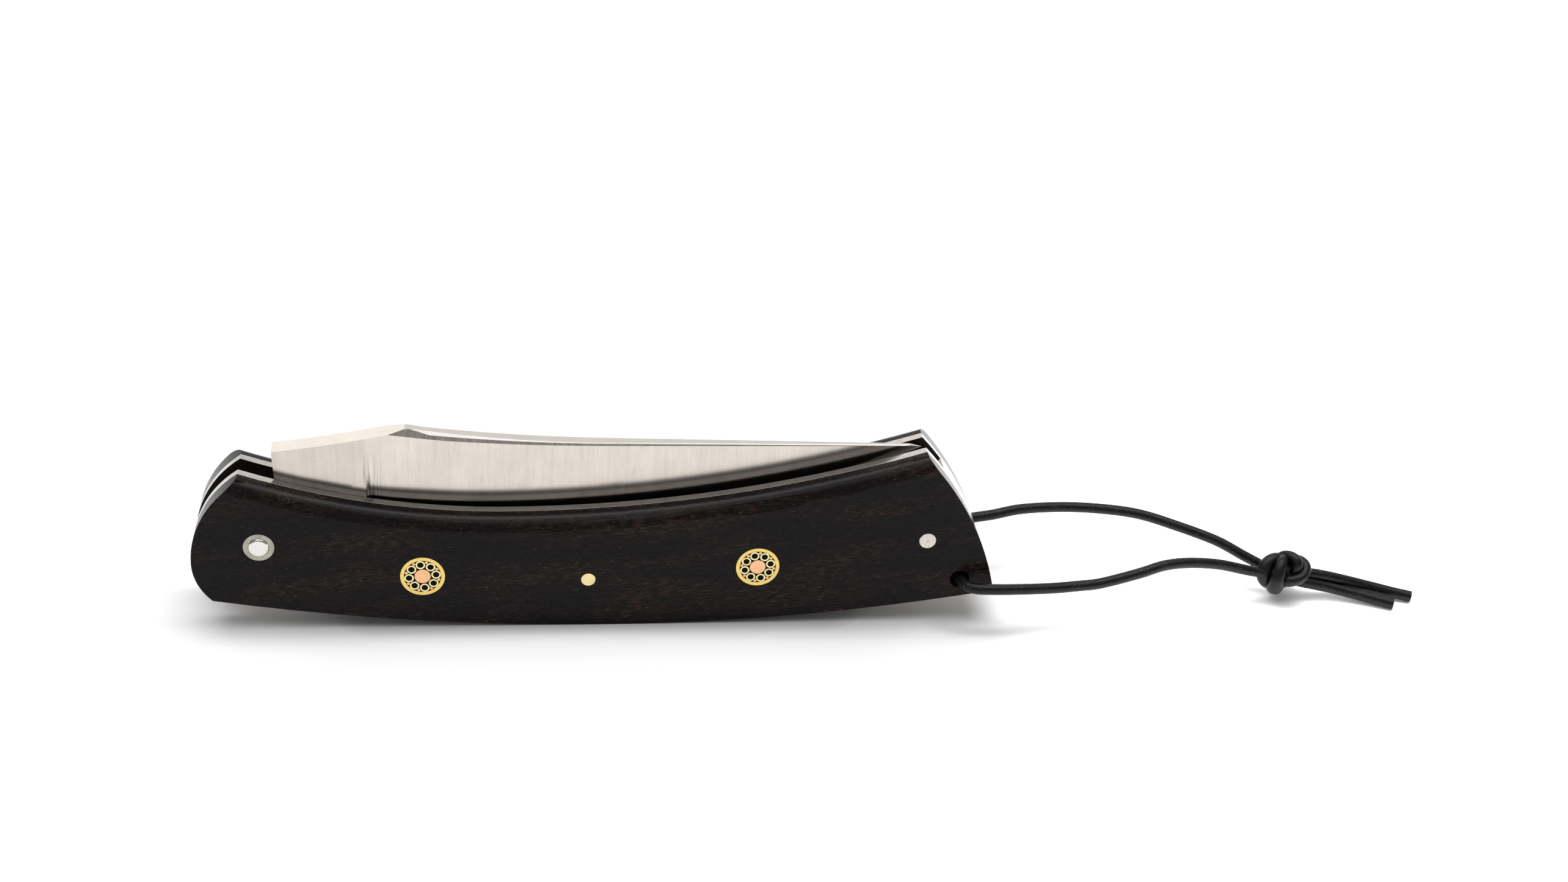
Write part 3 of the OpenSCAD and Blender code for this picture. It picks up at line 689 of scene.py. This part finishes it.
# %% Make the metal of the mosaic pins
def grow(name, mesh, tree, values, nodes, crease=40):
    """Runs a tree on a mesh, keeps the result as a plain mesh, and lets it stand for the nodes."""
    seed = bpy.data.objects.new(name + "_places", mesh)
    bpy.context.collection.objects.link(seed)
    modifier = seed.modifiers.new("grow", "NODES")
    modifier.node_group = tree
    for item in tree.interface.items_tree:
        if item.in_out == "INPUT" and item.name in values:
            modifier[item.identifier] = values[item.name]
    bpy.context.view_layer.update()
    graph = bpy.context.evaluated_depsgraph_get()
    grown = bpy.data.meshes.new_from_object(seed.evaluated_get(graph))
    seed.modifiers.remove(modifier)
    bpy.data.objects.remove(seed)
    bm = bmesh.new()
    bm.from_mesh(grown)
    bmesh.ops.remove_doubles(bm, verts=bm.verts, dist=JOIN_WITHIN)
    bmesh.ops.recalc_face_normals(bm, faces=bm.faces)
    bm.to_mesh(grown)
    bm.free()
    grown.shade_smooth()
    grown.set_sharp_from_angle(angle=math.radians(crease))
    piece = bpy.data.objects.new(name, grown)
    bpy.context.collection.objects.link(piece)
    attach(piece, HANDLE)
    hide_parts(*nodes)
    print(name, len(grown.polygons), "faces")
    return piece


brass_sizes = {"Middle radius": 3.0 * MM, "Middle wall": 0.498 * MM, "Small radius": 0.639 * MM,
               "Small wall": 0.2 * MM, "Length": PIN_LENGTH * MM, "Orbit": 1.833 * MM, "Start angle": 0.0,
               "Count": 8, "Middle material": brass, "Small material": bright_brass}
copper_sizes = {"Middle radius": 1.119 * MM, "Middle wall": 0.04 * MM, "Small radius": 0.228 * MM,
                "Small wall": 0.03 * MM, "Length": PIN_LENGTH * MM, "Orbit": 2.244 * MM,
                "Start angle": math.pi / 8, "Count": 8, "Middle material": copper,
                "Small material": copper}
mosaic_brass = grow("mosaic_brass_tubes", pin_places(), tube_tree, brass_sizes,
                    ["mosaic_tubes", "mosaic_small_tubes"])
mosaic_copper = grow("mosaic_copper_wires", pin_places(), rod_tree, copper_sizes,
                     ["mosaic_wires", "mosaic_cores"])
for piece in (mosaic_brass, mosaic_copper):
    reach = [[round(f(v.co[i] for v in piece.data.vertices) / MM, 2) for i in range(3)] for f in (min, max)]
    print(piece.name, "spans", reach)
for place in frame["nodes"]["mosaic_resin"].material_slots:
    place.material = epoxy

# %% [markdown]
# ## Floor, world and lamps
# A white table under a big soft lamp. The floor is white to the camera and keeps the shadow. Its paint
# holds painted light and shade: a painted shadow right under the knife, which deepens the shadow of the
# contact, and painted light far away and under the cord, which turns it whiter there.

# %% Stage
floor_mesh = bpy.data.meshes.new("table")
REACH = 6.0
floor_mesh.from_pydata([(-REACH, -REACH, 0), (REACH, -REACH, 0), (REACH, REACH, 0), (-REACH, REACH, 0)], [],
                       [(0, 1, 2, 3)])
table = bpy.data.objects.new("table", floor_mesh)
bpy.context.collection.objects.link(table)

material, tree, out = new_material("white_table")


def sees_background(tree):
    """1 for a ray that shows the background: straight from the camera, off metal or through glass."""
    kind = add(tree, "ShaderNodeLightPath").outputs
    some = add(tree, "ShaderNodeMath", {0: kind["Is Camera Ray"], 1: kind["Is Glossy Ray"]}, operation="MAXIMUM")
    return add(tree, "ShaderNodeMath", {0: some.outputs[0], 1: kind["Is Transmission Ray"]},
               operation="MAXIMUM").outputs[0]


# painted light and shade by the distance from the knife, in metres: from, to, brightness at each. The
# first rows are painted light, whiter where less light reaches it, and the last one is a painted shadow,
# darker where the knife stands.
BY_DISTANCE = [(0.008, 0.017, 0.98, 1.09), (0.06, 0.3, 1.0, 1.25), (0.25, 0.8, 1.0, 1.45),
               (0.6, 2.0, 1.0, 1.5), (0.0055, 0.008, 0.75, 1.0)]
CORD_FROM, CORD_TO, CORD_PAINTED_LIGHT = 0.054, 0.075, 1.7
HALF_STAND = 0.03                  # the knife touches the table over about twice this length
WHITE_PAINT = 0.85                 # what the table's colour is to the light that bounces off it
place = add(tree, "ShaderNodeTexCoord")
axes = add(tree, "ShaderNodeSeparateXYZ", {"Vector": place.outputs["Object"]})
along = add(tree, "ShaderNodeMath", {0: axes.outputs["X"]}, operation="ABSOLUTE")
beyond = add(tree, "ShaderNodeMath", {0: along.outputs[0], 1: -HALF_STAND}, operation="ADD")
outside = add(tree, "ShaderNodeMath", {0: beyond.outputs[0], 1: 0.0}, operation="MAXIMUM")
gap = add(tree, "ShaderNodeCombineXYZ", {"X": outside.outputs[0], "Y": axes.outputs["Y"]})
away_from_knife = add(tree, "ShaderNodeVectorMath", {0: gap.outputs["Vector"]},
                      operation="LENGTH").outputs["Value"]
painted_light_and_shade = between(tree, away_from_knife, *BY_DISTANCE[0])
for row in BY_DISTANCE[1:]:
    painted_light_and_shade = times(tree, painted_light_and_shade, between(tree, away_from_knife, *row))
# painted light: the table is painted whiter under the cord, so the cord's shadow shows faint
painted_light_and_shade = times(tree, painted_light_and_shade, between(tree, axes.outputs["X"], CORD_FROM, CORD_TO, 1.0, CORD_PAINTED_LIGHT))
bright = add(tree, "ShaderNodeMix", {"Factor": sees_background(tree), 2: WHITE_PAINT, 3: painted_light_and_shade}, data_type="FLOAT")
paint = add(tree, "ShaderNodeBsdfDiffuse", {"Color": bright.outputs[0]})
tree.links.new(paint.outputs["BSDF"], out.inputs["Surface"])
floor_mesh.materials.append(material)

world = bpy.data.worlds.new("studio")
bpy.context.scene.world = world
world.use_nodes = True
tree = world.node_tree
tree.nodes.clear()
way = add(tree, "ShaderNodeTexCoord")
split = add(tree, "ShaderNodeSeparateXYZ", {"Vector": way.outputs["Generated"]})
room = add(tree, "ShaderNodeMapRange", {"Value": split.outputs["Y"], "From Min": 0.4, "From Max": 0.92,
                                        "To Min": 0.29, "To Max": 0.97}, interpolation_type="SMOOTHSTEP")
sky = add(tree, "ShaderNodeBackground", {"Color": (1, 1, 1, 1), "Strength": room.outputs["Result"]})
out = tree.nodes.new("ShaderNodeOutputWorld")
tree.links.new(sky.outputs["Background"], out.inputs["Surface"])


def soft_box(name, place, aim, size, watts, colour="#ffffff"):
    lamp = bpy.data.lights.new(name, "AREA")
    lamp.shape = "RECTANGLE"
    lamp.size, lamp.size_y = size
    lamp.energy = watts
    lamp.color = linear(colour)[:3]
    obj = bpy.data.objects.new(name, lamp)
    bpy.context.collection.objects.link(obj)
    obj.location = place
    obj.rotation_euler = (Vector(aim) - Vector(place)).to_track_quat("-Z", "Y").to_euler()


soft_box("overhead_box", (0.02, -0.03, 0.6), (0.01, 0, 0), (0.8, 0.5), 1.7)
soft_box("overhead_strip", (0.02, 0.07, 0.6), (0.01, 0, 0), (0.8, 0.15), 1.7)
soft_box("back_left_box", (-0.42, 1.1, 0.65), (-0.04, 0, 0.02), (0.7, 0.6), 0.55, "#fff8f0")
print("stage is set")

# %% Finish
bpy.context.view_layer.update()
